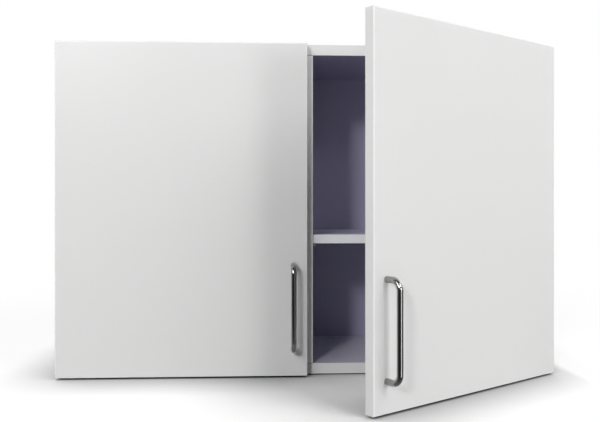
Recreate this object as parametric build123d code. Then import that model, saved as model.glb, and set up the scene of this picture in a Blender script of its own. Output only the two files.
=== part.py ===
"""Hanging wall cabinet with two hinged doors, at full size in millimetres.

The carcass is a box of white faced board: two sides that run the full height, a top and a bottom
between them, a centre divider and a back panel held in grooves. Each half has one shelf on pins.
Two full overlay doors hang on concealed cup hinges and carry a round bow handle each.

Axes: X across the front, Y from the doors (-Y) to the wall (+Y), Z up.
Origin: the middle of the carcass's underside.
"""
from build123d import *
import os
from math import ceil

# ---------------------------------------------------------------- carcass
width = 900.0
height = 600.0
depth = 280.0  # carcass only, without the doors
panel_t = 19.0
panel_band_t = 1.0  # edge band on the front edges of the carcass and the shelves

back_t = 8.0
back_inset = 17.0  # from the wall to the back panel's rear face
groove_depth = 8.0
groove_play = 0.1  # on each face of the back panel, and at its edges

# ---------------------------------------------------------------- hole rows in the sides and divider
row_pitch = 32.0
row_start = 10.5  # height of the lowest place in a row above the underside
row_front = 37.0  # from the front of the carcass to the front row
row_spacing = 160.0  # between the front row and the rear row
pin_hole_depth = 9.0
shelf_rows = (5, 6, 7, 8, 9)  # places in a row where a shelf pin can go
shelf_row = 7  # place that the shelf rests at
hinge_inset = 90.0  # least distance from a hinge's middle to the underside or the top
bore_over = 0.5  # blind bores run this far past what they hold
cut_over = 1.0  # cutting tools run this far past the faces they open

# ---------------------------------------------------------------- shelves and their pins
shelf_t = 16.0
shelf_setback = 4.0  # behind the front of the carcass
shelf_side_play = 0.6
shelf_back_play = 3.0
pin_r = 2.45
pin_hole_play = 0.05
pin_length = 8.0  # in the hole
pin_collar_r = 4.2
pin_collar_t = 1.2
pin_head_r = 3.0
pin_head_length = 6.5

# ---------------------------------------------------------------- corner fixings
dowel_r = 4.0
dowel_length = 34.0
dowel_in_side = 12.0
dowel_chamfer = 0.8
bore_play = 0.05  # round bores, on the radius
cam_r = 7.4
cam_t = 12.4
cam_offset = 24.0  # from the side's inner face to the cam's axis
cam_slot_r = 3.8
cam_drive_w = 1.6
cam_drive_l = 8.0
cam_drive_depth = 2.0
cam_bolt_r = 3.0
cam_bolt_head_r = 3.5
cam_bolt_neck_r = 2.0
cam_bolt_thread_r = 2.5
cam_bolt_thread_length = 11.0
cam_bolt_bore_r = 4.0
cam_bolt_past = 1.0  # the bolt ends this far past the cam's axis
fixing_inset = 60.0  # cams, from the front and from the wall
dowel_inset = 92.0  # dowels, from the front and from the wall

# ---------------------------------------------------------------- doors
door_t = 19.0
door_gap = 2.0  # between the carcass and the doors' inner faces
reveal = 1.5  # the doors stop this far inside the carcass's outline
door_band_t = 2.0
door_band_r = 1.5
bumper_r = 3.5
bumper_inset = 6.5  # from the edges of the door at its free corners
bumper_play = 0.1
left_open = 0.0  # degrees that each door stands open in the stored pose
right_open = 34.0

# ---------------------------------------------------------------- handles
handle_rod_r = 5.0
handle_spacing = 150.0  # between the centres of its two feet
handle_standoff = 28.0  # from the door's face to the rod's centre line
handle_bend_r = 15.0
handle_edge = 25.5  # from the door's free edge
handle_foot = 48.5  # lower foot above the door's bottom edge
handle_screw_r = 2.0
handle_tap_depth = 13.0
handle_screw_grip = 10.0  # length of thread in the handle
handle_screw_head_r = 4.2
handle_screw_head_t = 2.6
handle_screw_hole_r = 2.5

# ---------------------------------------------------------------- concealed hinges
# Hinge coordinates: u from the side's outer face towards the inside, v forward from the front of
# the carcass. The pivots in the arm go with the side, and those in the cup go with the door.
pivot_r = 1.5
pivot_play = 0.05
outer_pivot_in = 14.1  # arm pivot of the outer link, from the side's inner face
outer_pivot_back = 15.2  # and behind the front of the carcass
inner_pivot_in = 27.0
inner_pivot_back = 2.0
cup_r = 17.4
cup_depth = 11.5
cup_edge = 4.55  # wood left between the cup's bore and the door's edge
cup_bore_extra = 0.8  # bore deeper than the cup
cup_flange_t = 1.2
cup_flange_l = 62.0
cup_flange_w = 17.0
cup_flange_r = 18.6
cup_pocket_half = 6.5
cup_pocket_edge = 1.95  # from the cup's rim to its pocket, on the hinge side
cup_pocket_far = 1.55
cup_floor_t = 1.1
cup_rim_chamfer = 0.7
cup_screw_spacing = 45.0
cup_screw_offset = 9.5
cup_screw_r = 1.9
cup_screw_length = 12.0
cup_screw_head_r = 3.6
cup_screw_head_t = 1.5
outer_cup_u = -12.05  # cup pivot of the outer link, from the cup's axis
outer_cup_v = 3.5  # and in front of the door's inner face
inner_cup_u = -5.85
inner_cup_v = 5.1
inner_pin_shift_u = -0.75  # the inner link's free pin stands this far off its pivot in the cup
inner_pin_shift_v = 1.45
inner_pin_roam = 1.75  # and moves this far about it, in a hole that leaves it room
outer_link_ratio = -0.312  # turn of each link for one degree of the door
inner_link_ratio = -0.259
link_t = 2.0
link_half = 6.2  # half the height of the links' arm ends
link_eye_r = 2.7
inner_strap_half = 3.9  # half the height of the inner link's strap
fork_half = 4.2  # the outer link is forked this wide, so that the inner one passes inside it
fork_reach = 13.0  # from the outer link's cup pivot to the root of the fork
outer_link_sagitta = 7.0
pin_half = 8.4  # pivot pins reach this far each side of the hinge's middle

arm_half = 8.0
arm_wall = 1.5
arm_back = 60.0  # rear end, behind the front of the carcass
arm_low = 4.0  # from the side's inner face to the arm's lower edge
arm_high = 17.0  # and to its top
arm_shoulder = 25.0  # where the nose begins, behind the front
arm_nose_r = 3.7
arm_play = 0.3
plate_t = 2.5
plate_wing_w = 16.0
plate_wing_l = 50.0
plate_rail_top = 9.5
plate_front = 20.0
plate_back = 58.0
plate_screw_r = 2.5
plate_screw_length = 12.0
plate_screw_head_r = 4.8
plate_screw_head_t = 1.4
arm_screw_r = 2.4
arm_screw_head_r = 3.6
arm_screw_head_t = 1.6
arm_screw_backs = (34.0, 50.0)  # behind the front of the carcass

# ---------------------------------------------------------------- hangers in the upper rear corners
hanger_w = 18.0
hanger_d = 54.0
hanger_h = 62.0
hanger_drop = 6.0  # below the top panel's underside
hanger_round = 3.0
peg_r = 5.0
peg_length = 10.0
peg_spacing = 32.0
hook_t = 2.5
hook_play = 0.2
hook_reach = 13.0  # behind the back panel's rear face
hook_h = 22.0
hook_root = 26.0  # inside the housing
hook_tongue_t = 4.0
hook_tongue_h = 36.0
hook_drop = 8.0  # below the housing's top
hook_cutout = 4.0  # room round the hook in the back panel
adjuster_r = 2.5
adjuster_head_r = 4.0
adjuster_head_t = 3.0
adjuster_drops = (17.0, 50.0)  # below the housing's top
adjuster_cross = 1.2

# ---------------------------------------------------------------- places worked out from the above
front_y = -depth / 2
wall_y = depth / 2
side_x = width / 2
inner_x = side_x - panel_t  # inner face of a side
inner_low = panel_t
inner_high = height - panel_t
back_front_y = wall_y - back_inset - back_t
bay_w = inner_x - panel_t / 2
door_in_y = front_y - door_gap
door_out_y = door_in_y - door_t
door_w = side_x - 2 * reveal
door_h = height - 2 * reveal
fixing_ys = (front_y + fixing_inset, wall_y - fixing_inset)
dowel_ys = (front_y + dowel_inset, wall_y - dowel_inset)
row_ys = (front_y + row_front, front_y + row_front + row_spacing)

cup_bore_r = cup_r + bore_play
cup_u = reveal + cup_edge + cup_bore_r
outer_arm_pivot = Vector(panel_t + outer_pivot_in, -outer_pivot_back)
inner_arm_pivot = Vector(panel_t + inner_pivot_in, -inner_pivot_back)
outer_cup_pivot = Vector(cup_u + outer_cup_u, door_gap + outer_cup_v)
inner_cup_pivot = Vector(cup_u + inner_cup_u, door_gap + inner_cup_v)
inner_free_pin = inner_cup_pivot + Vector(inner_pin_shift_u, inner_pin_shift_v)


def row_z(place):
    """Height of a place in a hole row."""
    return row_start + place * row_pitch


def hinge_height(low_limit):
    """The first height midway between two places of a row that isn't below a limit."""
    return row_z(ceil((low_limit - row_start) / row_pitch - 0.5) + 0.5)


hinge_zs = (hinge_height(hinge_inset), hinge_height(height - hinge_inset - row_pitch))
shelf_z = row_z(shelf_row) + pin_head_r  # underside of the shelf


# ---------------------------------------------------------------- helpers
def block(x0, x1, y0, y1, z0, z1):
    """A box between two opposite corners."""
    return Pos((x0 + x1) / 2, (y0 + y1) / 2, (z0 + z1) / 2) * Box(x1 - x0, y1 - y0, z1 - z0)


def rod(start, direction, length, radius):
    """A round bar from a point along a direction."""
    return Solid.make_cylinder(radius, length, Plane(origin=start, z_dir=direction))


def turned(profile, start, direction):
    """A turned piece: (radius, length) steps one after the other along a direction."""
    pieces = []
    at = Vector(*start)
    step = Vector(*direction)
    for radius, length in profile:
        pieces.append(rod(at, direction, length, radius))
        at = at + step * length
    return pieces[0].fuse(*pieces[1:])


def mirrored(part):
    """The same piece on the other side of the cabinet."""
    return mirror(part, about=Plane.YZ)


def both_sides(parts):
    """Pieces of the right side and their mirror images."""
    return list(parts) + [mirrored(part) for part in parts]


def cut(part, tools):
    """A piece less every tool in a list."""
    return part.cut(*[solid for tool in tools for solid in tool.solids()])


def at_hinge(part, z):
    """Carry a piece from hinge coordinates to the right side, at a height."""
    return Pos(side_x, front_y, z) * Rot(0, 0, 180) * part


def hinge_point(point, z=0.0):
    """A point in hinge coordinates as a point of the cabinet, on the right side."""
    return Vector(side_x - point.X, front_y - point.Y, z)


def upright(point):
    """The vertical axis through a point in hinge coordinates, on the right side."""
    return Axis(hinge_point(point), (0, 0, 1))


def swing_outer(part, angle):
    """Turn an outer link, or what it carries, with a door that stands open by an angle."""
    return part.rotate(upright(outer_arm_pivot), outer_link_ratio * angle)


def swing_inner(part, angle):
    """Turn an inner link with a door that stands open by an angle."""
    return part.rotate(upright(inner_arm_pivot), inner_link_ratio * angle)


def swing_door(part, angle):
    """Turn a piece of the right door from closed to an angle: about its own pivot, then with the link."""
    on_link = part.rotate(upright(outer_cup_pivot), (1 - outer_link_ratio) * angle)
    return swing_outer(on_link, angle)


# ---------------------------------------------------------------- bores that the panels share
def pin_rows(face_x, inward):
    """Shelf pin bores in a face: inward is +1 when the board lies towards +X of the face."""
    return [
        rod((face_x, y, row_z(place)), (inward, 0, 0), pin_hole_depth, pin_r + pin_hole_play)
        for y in row_ys
        for place in shelf_rows
    ]


def plate_bores():
    """Bores for the hinge plates' screws in the right side's inner face."""
    return [
        rod((inner_x, row_ys[0], z + offset), (1, 0, 0), plate_screw_length, plate_screw_r + bore_play)
        for z in hinge_zs
        for offset in (-row_pitch / 2, row_pitch / 2)
    ]


def corner_heights():
    """Middle heights of the bottom and top panels, each with the sign of its outer face."""
    return ((panel_t / 2, -1), (height - panel_t / 2, 1))


def corner_bores_in_side():
    """Bores in the right side for the corner bolts and dowels."""
    bolts = [
        rod((inner_x, y, z), (1, 0, 0), cam_bolt_thread_length + bore_play, cam_bolt_thread_r + bore_play)
        for z, _ in corner_heights()
        for y in fixing_ys
    ]
    dowels = [
        rod((inner_x, y, z), (1, 0, 0), dowel_in_side + bore_over, dowel_r + bore_play)
        for z, _ in corner_heights()
        for y in dowel_ys
    ]
    return bolts + dowels


def corner_bores_in_end(z, outward):
    """Bores at the right end of a top or bottom panel: cams from its outer face, the rest from its end."""
    outer_z = z + outward * panel_t / 2
    cams = [
        rod((inner_x - cam_offset, y, outer_z), (0, 0, -outward), cam_t + bore_play, cam_r + bore_play)
        for y in fixing_ys
    ]
    bolts = [
        rod((inner_x, y, z), (-1, 0, 0), cam_offset + 2 * cam_bolt_past, cam_bolt_bore_r) for y in fixing_ys
    ]
    dowels = [
        rod((inner_x, y, z), (-1, 0, 0), dowel_length - dowel_in_side + bore_over, dowel_r + bore_play)
        for y in dowel_ys
    ]
    return cams + bolts + dowels


def divider_dowel_starts():
    """Lower ends of the dowels that hold the divider."""
    lower = inner_low - dowel_in_side
    upper = inner_high - (dowel_length - dowel_in_side)
    return [(0, y, z) for y in dowel_ys for z in (lower, upper)]


def divider_dowel_bores():
    """Bores for those dowels, a little longer than they are."""
    return [
        rod((x, y, z - bore_over), (0, 0, 1), dowel_length + 2 * bore_over, dowel_r + bore_play)
        for x, y, z in divider_dowel_starts()
    ]


def back_groove():
    """The room that the back panel takes in the four boards round it."""
    return block(
        -inner_x - groove_depth, inner_x + groove_depth,
        back_front_y - groove_play, back_front_y + back_t + groove_play,
        inner_low - groove_depth, inner_high + groove_depth,
    )


# ---------------------------------------------------------------- carcass
def right_side():
    """A side of the carcass, bored and grooved."""
    board = block(inner_x, side_x, front_y + panel_band_t, wall_y, 0, height)
    tools = [back_groove()] + pin_rows(inner_x, 1) + plate_bores() + corner_bores_in_side() + hanger_peg_bores()
    return cut(board, tools)


def cross_panel(z, outward):
    """The top or bottom of the carcass, between the sides."""
    board = block(
        -inner_x, inner_x, front_y + panel_band_t, wall_y, z - panel_t / 2, z + panel_t / 2
    )
    ends = both_sides(corner_bores_in_end(z, outward))
    return cut(board, [back_groove()] + ends + divider_dowel_bores())


def centre_divider():
    """The upright between the two halves, in front of the back panel."""
    half = panel_t / 2
    board = block(-half, half, front_y + panel_band_t, back_front_y, inner_low, inner_high)
    return cut(board, pin_rows(half, -1) + pin_rows(-half, 1) + divider_dowel_bores())


def back_panel():
    """The back, in its grooves, with an opening at each upper corner for a hanger's hook."""
    reach = groove_depth - groove_play
    board = block(
        -inner_x - reach, inner_x + reach,
        back_front_y, back_front_y + back_t,
        inner_low - reach, inner_high + reach,
    )
    top = hook_top() + hook_cutout
    opening = block(
        inner_x - hanger_w, inner_x,
        back_front_y - cut_over, back_front_y + back_t + cut_over,
        top - hook_h - 2 * hook_cutout, top,
    )
    return cut(board, both_sides([opening]))


def carcass_bands():
    """Edge bands on the front edges of the five carcass boards."""
    y0, y1 = front_y, front_y + panel_band_t
    half = panel_t / 2
    upright_band = block(inner_x, side_x, y0, y1, 0, height)
    bottom_band = block(-inner_x, inner_x, y0, y1, 0, inner_low)
    top_band = block(-inner_x, inner_x, y0, y1, inner_high, height)
    divider_band = block(-half, half, y0, y1, inner_low, inner_high)
    return both_sides([upright_band]) + [bottom_band, top_band, divider_band]


def shelf_span():
    """The right shelf's two ends across the cabinet."""
    return panel_t / 2 + shelf_side_play, inner_x - shelf_side_play


def right_shelf():
    """The shelf of the right half, behind its edge band."""
    x0, x1 = shelf_span()
    y0 = front_y + shelf_setback + panel_band_t
    return block(x0, x1, y0, back_front_y - shelf_back_play, shelf_z, shelf_z + shelf_t)


def right_shelf_band():
    """The edge band on the front of the right shelf."""
    x0, x1 = shelf_span()
    y0 = front_y + shelf_setback
    return block(x0, x1, y0, y0 + panel_band_t, shelf_z, shelf_z + shelf_t)


def right_shelf_pins():
    """The four pins under the right shelf."""
    profile = ((pin_r, pin_length), (pin_collar_r, pin_collar_t), (pin_head_r, pin_head_length))
    pins = []
    for face_x, inward in ((inner_x, -1), (panel_t / 2, 1)):
        for y in row_ys:
            start = (face_x - inward * pin_length, y, row_z(shelf_row))
            pin = turned(profile, start, (inward, 0, 0))
            # the collar is flattened where the shelf passes it
            pins.append(pin - block(-side_x, side_x, front_y, wall_y, shelf_z, shelf_z + shelf_t))
    return pins


# ---------------------------------------------------------------- corner fixings
def right_cams():
    """Cam housings at the right ends of the top and bottom panels."""
    cams = []
    for z, outward in corner_heights():
        outer_z = z + outward * panel_t / 2
        for y in fixing_ys:
            centre_x = inner_x - cam_offset
            cam = rod((centre_x, y, outer_z), (0, 0, -outward), cam_t, cam_r)
            mouth = rod((inner_x, y, z), (-1, 0, 0), cam_offset + 2 * cam_bolt_past, cam_slot_r)
            drive_z = outer_z - outward * cam_drive_depth / 2
            slots = [
                Pos(centre_x, y, drive_z) * Box(cam_drive_l, cam_drive_w, cam_drive_depth),
                Pos(centre_x, y, drive_z) * Box(cam_drive_w, cam_drive_l, cam_drive_depth),
            ]
            cams.append(cut(cam, [mouth] + slots))
    return cams


def right_cam_bolts():
    """Bolts that run from the right side into its cams."""
    neck = cam_bolt_head_r
    head = cam_bolt_head_r
    shank = cam_offset + cam_bolt_past - neck - head
    profile = (
        (cam_bolt_thread_r, cam_bolt_thread_length),
        (cam_bolt_r, shank),
        (cam_bolt_neck_r, neck),
        (cam_bolt_head_r, head),
    )
    return [
        turned(profile, (inner_x + cam_bolt_thread_length, y, z), (-1, 0, 0))
        for z, _ in corner_heights()
        for y in fixing_ys
    ]


def dowel(start, direction):
    """A wood dowel with chamfered ends."""
    pin = rod(start, direction, dowel_length, dowel_r)
    return chamfer(pin.edges().filter_by(GeomType.CIRCLE), dowel_chamfer)


def dowels():
    """Every dowel of the carcass."""
    corners = [
        dowel((inner_x + dowel_in_side, y, z), (-1, 0, 0))
        for z, _ in corner_heights()
        for y in dowel_ys
    ]
    return both_sides(corners) + [dowel(start, (0, 0, 1)) for start in divider_dowel_starts()]


# ---------------------------------------------------------------- hangers
def hook_top():
    """Height of the hook's upper edge."""
    return inner_high - hanger_drop - hook_drop


def hanger_peg_heights():
    """Heights of the two pegs behind the right hanger's housing."""
    middle = inner_high - hanger_drop - hanger_h / 2
    return middle - peg_spacing / 2, middle + peg_spacing / 2


def hanger_peg_bores():
    """Bores for the pegs in the right side."""
    y = back_front_y - hanger_d / 2
    return [
        rod((inner_x, y, z), (1, 0, 0), peg_length + bore_over, peg_r + bore_play) for z in hanger_peg_heights()
    ]


def adjuster_heights():
    """Heights of a hanger's two adjusting screws."""
    return [inner_high - hanger_drop - drop for drop in adjuster_drops]


def right_hanger_housing():
    """The moulded housing in the upper rear corner, with its pegs and the room for hook and screws."""
    x0, x1 = inner_x - hanger_w, inner_x
    y0, y1 = back_front_y - hanger_d, back_front_y
    z1 = inner_high - hanger_drop
    body = block(x0, x1, y0, y1, z1 - hanger_h, z1)
    body = fillet(body.edges().filter_by(Axis.Y).group_by(Axis.X)[0], hanger_round)
    body = fillet(body.faces().sort_by(Axis.Y)[0].edges(), hanger_round / 3)
    middle_x = (x0 + x1) / 2
    pegs = [
        rod((inner_x, (y0 + y1) / 2, z), (1, 0, 0), peg_length, peg_r) for z in hanger_peg_heights()
    ]
    slot = block(
        middle_x - hook_t / 2 - hook_play, middle_x + hook_t / 2 + hook_play,
        y1 - hook_root - hook_play, y1,
        hook_top() - hook_h - hook_play, hook_top() + hook_play,
    )
    tools = [slot]
    for z in adjuster_heights():
        tools.append(rod((middle_x, y0, z), (0, 1, 0), 2 * adjuster_head_t, adjuster_head_r + hook_play))
        tools.append(rod((middle_x, y0, z), (0, 1, 0), hanger_d - hook_root, adjuster_r + bore_play))
    return cut(body.fuse(*pegs), tools)


def right_hook():
    """The steel hook that hangs on a wall rail: a plate with a tongue that points down."""
    middle_x = inner_x - hanger_w / 2
    x0, x1 = middle_x - hook_t / 2, middle_x + hook_t / 2
    rear_y = back_front_y + back_t + hook_reach
    top = hook_top()
    plate = block(x0, x1, back_front_y - hook_root, rear_y, top - hook_h, top)
    tongue = block(x0, x1, rear_y - hook_tongue_t, rear_y, top - hook_tongue_h, top)
    hook = plate + tongue
    corners = hook.edges().filter_by(Axis.X).group_by(Axis.Y)[-1]
    return fillet(corners, hook_tongue_t / 3)


def right_adjusters():
    """The two adjusting screws in the front of the right hanger's housing."""
    middle_x = inner_x - hanger_w / 2
    y0 = back_front_y - hanger_d + adjuster_head_t
    profile = (
        (adjuster_head_r, adjuster_head_t),
        (adjuster_r, hanger_d - hook_root - 2 * adjuster_head_t - hook_play),
    )
    screws = []
    for z in adjuster_heights():
        screw = turned(profile, (middle_x, y0, z), (0, 1, 0))
        screws.append(cut(screw, cross_slots((middle_x, y0, z), adjuster_head_r)))
    return screws


def cross_slots(at, head_r):
    """Two shallow crossed slots in a screw head that faces the front."""
    x, y, z = at
    reach = head_r * 1.2
    place = Pos(x, y, z)
    return [
        place * Box(reach, 2 * adjuster_cross, adjuster_cross),
        place * Box(adjuster_cross, 2 * adjuster_cross, reach),
    ]


# ---------------------------------------------------------------- hinges, in hinge coordinates
def eye(point, radius, half):
    """A round boss about a pivot, across the hinge."""
    return rod((point.X, point.Y, -half), (0, 0, 1), 2 * half, radius)


def strap(line, half):
    """A bent or straight strap of a link, along a line from pivot to pivot."""
    return extrude(trace(line, line_width=link_t), amount=half, both=True)


def outer_link():
    """The outer link: bowed round the side's front edge, forked at the cup and bored for its pins."""
    ends = (outer_arm_pivot, outer_cup_pivot)
    bow = SagittaArc((ends[0].X, ends[0].Y), (ends[1].X, ends[1].Y), -outer_link_sagitta)
    body = strap(bow, link_half) + [eye(pivot, link_eye_r, link_half) for pivot in ends]
    holes = [eye(pivot, pivot_r + pivot_play, link_half) for pivot in ends]
    return cut(body, [eye(outer_cup_pivot, fork_reach, fork_half)] + holes)


def inner_link():
    """The inner link: a straight strap that runs inside the fork, with its free pin fixed in its cup eye."""
    line = Line((inner_arm_pivot.X, inner_arm_pivot.Y), (inner_free_pin.X, inner_free_pin.Y))
    body = strap(line, inner_strap_half) + eye(inner_arm_pivot, link_eye_r, link_half)
    body += eye(inner_free_pin, link_eye_r, inner_strap_half)
    bored = cut(body, [eye(inner_arm_pivot, pivot_r + pivot_play, link_half)])
    return bored + eye(inner_free_pin, pivot_r, pin_half)


def cup_flange():
    """The flange that lies on the door, as a flat shape cropped short of the door's edge."""
    disc = Pos(cup_u, 0) * Circle(cup_flange_r)
    wing = Pos(cup_u + cup_screw_offset, 0) * RectangleRounded(cup_flange_w, cup_flange_l, cup_flange_w / 3)
    shape = disc + wing
    crop = Pos(reveal, 0) * Rectangle(2 * cup_edge, 3 * cup_flange_r)
    return shape - crop


def forward(shape, v):
    """Lay a flat (u, z) shape in the plane at v, ready to be extruded forward."""
    return Plane(origin=(0, v, 0), x_dir=(1, 0, 0), z_dir=(0, -1, 0)) * shape


def hinge_cup():
    """The die-cast cup: a round body with a pocket for the links and a flange with two screw holes."""
    face_v = door_gap
    body = rod((cup_u, face_v, 0), (0, 1, 0), cup_depth, cup_r)
    flange = extrude(forward(cup_flange(), face_v), amount=cup_flange_t)
    pocket_u0 = cup_u - cup_r + cup_pocket_edge
    pocket_u1 = cup_u + cup_r - cup_pocket_far
    floor_v = face_v + cup_depth - cup_floor_t
    pocket = block(
        pocket_u0, pocket_u1, face_v - cup_flange_t, floor_v, -cup_pocket_half, cup_pocket_half
    )
    far_gap = block(
        pocket_u1, cup_u + 2 * cup_r, face_v - cup_flange_t, face_v, -cup_pocket_half, cup_pocket_half
    )
    rim = Pos(pocket_u0, face_v - cup_flange_t, 0) * Rot(0, 0, 45) * Box(
        2 * (cup_flange_t + cup_rim_chamfer) / 2 ** 0.5,
        2 * (cup_flange_t + cup_rim_chamfer) / 2 ** 0.5,
        2 * cup_pocket_half,
    )
    holes = [
        rod((u, face_v - cup_flange_t, z), (0, 1, 0), cup_flange_t, cup_screw_r + bore_play)
        for u, z in cup_screw_places()
    ]
    free_pin_room = eye(inner_cup_pivot, pivot_r + inner_pin_roam, pin_half + 2 * pivot_play)
    return cut(body + flange, [pocket, far_gap, rim, free_pin_room] + cup_pins() + holes)


def cup_screw_places():
    """The cup's two screws, as (u, z)."""
    u = cup_u + cup_screw_offset
    return ((u, -cup_screw_spacing / 2), (u, cup_screw_spacing / 2))


def cup_screws():
    """Screws that hold the cup's flange to the door."""
    profile = ((cup_screw_head_r, cup_screw_head_t), (cup_screw_r, cup_screw_length))
    start_v = door_gap - cup_flange_t - cup_screw_head_t
    return [turned(profile, (u, start_v, z), (0, 1, 0)) for u, z in cup_screw_places()]


def cup_tools():
    """What the door is bored with for one hinge: the cup's bore and its two screw holes."""
    bore = rod((cup_u, door_gap, 0), (0, 1, 0), cup_depth + cup_bore_extra, cup_bore_r)
    holes = [
        rod((u, door_gap, z), (0, 1, 0), cup_screw_length, cup_screw_r + bore_play)
        for u, z in cup_screw_places()
    ]
    return [bore] + holes


def arm_outline():
    """Side view of the hinge arm in (u, v): a straight channel with a raised nose round both pivots."""
    u0, u1 = panel_t + arm_low, panel_t + arm_high
    channel = Polygon((u0, -arm_back), (u1, -arm_back), (u1, -arm_shoulder), (u0, -arm_shoulder), align=None)
    shoulder = Vector(u1 - arm_nose_r, -arm_shoulder)
    circles = [
        Pos(point.X, point.Y) * Circle(arm_nose_r)
        for point in (shoulder, outer_arm_pivot, inner_arm_pivot)
    ]
    nose = make_hull([circle.edge() for circle in circles])
    return channel + nose


def hinge_arm():
    """The hinge arm: two cheeks joined by a web over the channel, with slots for its screws."""
    body = extrude(arm_outline(), amount=arm_half, both=True)
    inside = arm_half - arm_wall
    web_u = panel_t + arm_high - arm_wall
    hollow = block(0, web_u, -arm_back - cut_over, -arm_shoulder, -inside, inside)
    nose_room = block(0, side_x, -arm_shoulder, arm_back, -inside, inside)
    pins = [eye(pivot, pivot_r, pin_half) for pivot in (outer_arm_pivot, inner_arm_pivot)]
    screw_holes = [
        rod((web_u, -back, 0), (1, 0, 0), arm_wall, arm_screw_r + bore_play) for back in arm_screw_backs
    ]
    return cut(body, [hollow, nose_room] + pins + screw_holes)


def mounting_plate():
    """The plate on the side panel: a cross-shaped base with a rail that the arm straddles."""
    u0 = panel_t
    rail_half = arm_half - arm_wall - arm_play
    base = block(u0, u0 + plate_t, -plate_back, -plate_front, -rail_half, rail_half)
    wing = block(
        u0, u0 + plate_t,
        -row_front - plate_wing_w / 2, -row_front + plate_wing_w / 2,
        -plate_wing_l / 2, plate_wing_l / 2,
    )
    wing = fillet(wing.edges().filter_by(Axis.X), plate_wing_w / 4)
    rail = block(u0, u0 + plate_rail_top, -plate_back, -plate_front, -rail_half, rail_half)
    rail = chamfer(rail.faces().sort_by(Axis.X)[-1].edges().filter_by(Axis.Y), arm_wall)
    holes = [
        rod((u0, -row_front, offset), (1, 0, 0), plate_t, plate_screw_r + bore_play)
        for offset in (-row_pitch / 2, row_pitch / 2)
    ]
    taps = [
        rod((u0 + plate_t, -back, 0), (1, 0, 0), plate_rail_top, arm_screw_r + bore_play)
        for back in arm_screw_backs
    ]
    return cut(base + wing + rail, holes + taps)


def plate_screws():
    """The two screws of one mounting plate."""
    profile = ((plate_screw_head_r, plate_screw_head_t), (plate_screw_r, plate_screw_length - bore_over + plate_t))
    start_u = panel_t + plate_t + plate_screw_head_t
    return [
        turned(profile, (start_u, -row_front, offset), (-1, 0, 0))
        for offset in (-row_pitch / 2, row_pitch / 2)
    ]


def arm_screws():
    """The arm's fixing and adjusting screws, from its web down into the rail."""
    length = arm_high - plate_t
    profile = ((arm_screw_head_r, arm_screw_head_t), (arm_screw_r, length - arm_play))
    start_u = panel_t + arm_high + arm_screw_head_t
    return [turned(profile, (start_u, -back, 0), (-1, 0, 0)) for back in arm_screw_backs]


def arm_pins():
    """The two pivot pins held in the arm's cheeks."""
    return [eye(pivot, pivot_r, pin_half) for pivot in (outer_arm_pivot, inner_arm_pivot)]


def cup_pins():
    """The two short pins held in the cup's cheeks, one for each leg of the outer link's fork."""
    x, y = outer_cup_pivot.X, outer_cup_pivot.Y
    length = pin_half - fork_half
    return [rod((x, y, z), (0, 0, 1), length, pivot_r) for z in (-pin_half, fork_half)]


def at_both_hinges(parts):
    """Copies of hinge pieces at the lower and the upper hinge of the right side."""
    return [at_hinge(part, z) for z in hinge_zs for part in parts]


# ---------------------------------------------------------------- the right door, closed
def door_outline():
    """The right door's extent across the cabinet and in height."""
    return reveal, reveal + door_w, reveal, reveal + door_h


def handle_places():
    """Where the handle's two feet stand on the door, as (x, z)."""
    x0, _, z0, _ = door_outline()
    x = x0 + handle_edge
    return ((x, z0 + handle_foot), (x, z0 + handle_foot + handle_spacing))


def door_panel():
    """The door's board inside its edge band, bored for cups and handle."""
    x0, x1, z0, z1 = door_outline()
    band = door_band_t
    board = block(x0 + band, x1 - band, door_out_y, door_in_y, z0 + band, z1 - band)
    screw_holes = [
        rod((x, door_out_y, z), (0, 1, 0), door_t, handle_screw_hole_r) for x, z in handle_places()
    ]
    return cut(board, at_both_hinges(cup_tools()) + screw_holes)


def door_band():
    """The edge band round the door, with its outer edges rounded."""
    x0, x1, z0, z1 = door_outline()
    band = door_band_t
    outside = block(x0, x1, door_out_y, door_in_y, z0, z1)
    outside = fillet(
        outside.faces().sort_by(Axis.Y)[0].edges() + outside.faces().sort_by(Axis.Y)[-1].edges(),
        door_band_r,
    )
    inside = block(x0 + band, x1 - band, door_out_y, door_in_y, z0 + band, z1 - band)
    return outside - inside


def handle():
    """A bow handle bent from round rod, tapped at both feet."""
    (x, low_z), (_, high_z) = handle_places()
    reach_y = door_out_y - handle_standoff
    path = FilletPolyline(
        (x, door_out_y, low_z), (x, reach_y, low_z), (x, reach_y, high_z), (x, door_out_y, high_z),
        radius=handle_bend_r,
    )
    section = Plane(origin=(x, door_out_y, low_z), z_dir=(0, -1, 0)) * Circle(handle_rod_r)
    bow = sweep(section, path)
    taps = [
        rod((x, door_out_y, z), (0, -1, 0), handle_tap_depth, handle_screw_r + bore_play)
        for z in (low_z, high_z)
    ]
    return cut(bow, taps)


def handle_screws():
    """Screws from the door's inner face into the handle's feet."""
    profile = (
        (handle_screw_head_r, handle_screw_head_t),
        (handle_screw_r, door_t + handle_screw_grip),
    )
    start_y = door_in_y + handle_screw_head_t
    return [turned(profile, (x, start_y, z), (0, -1, 0)) for x, z in handle_places()]


def bumpers():
    """Soft pads at the door's free corners that meet the divider when it closes."""
    x0, _, z0, z1 = door_outline()
    x = x0 + bumper_inset - reveal
    return [
        rod((x, door_in_y, z), (0, 1, 0), door_gap - bumper_play, bumper_r)
        for z in (z0 + panel_t + bumper_inset, z1 - panel_t - bumper_inset)
    ]


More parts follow.
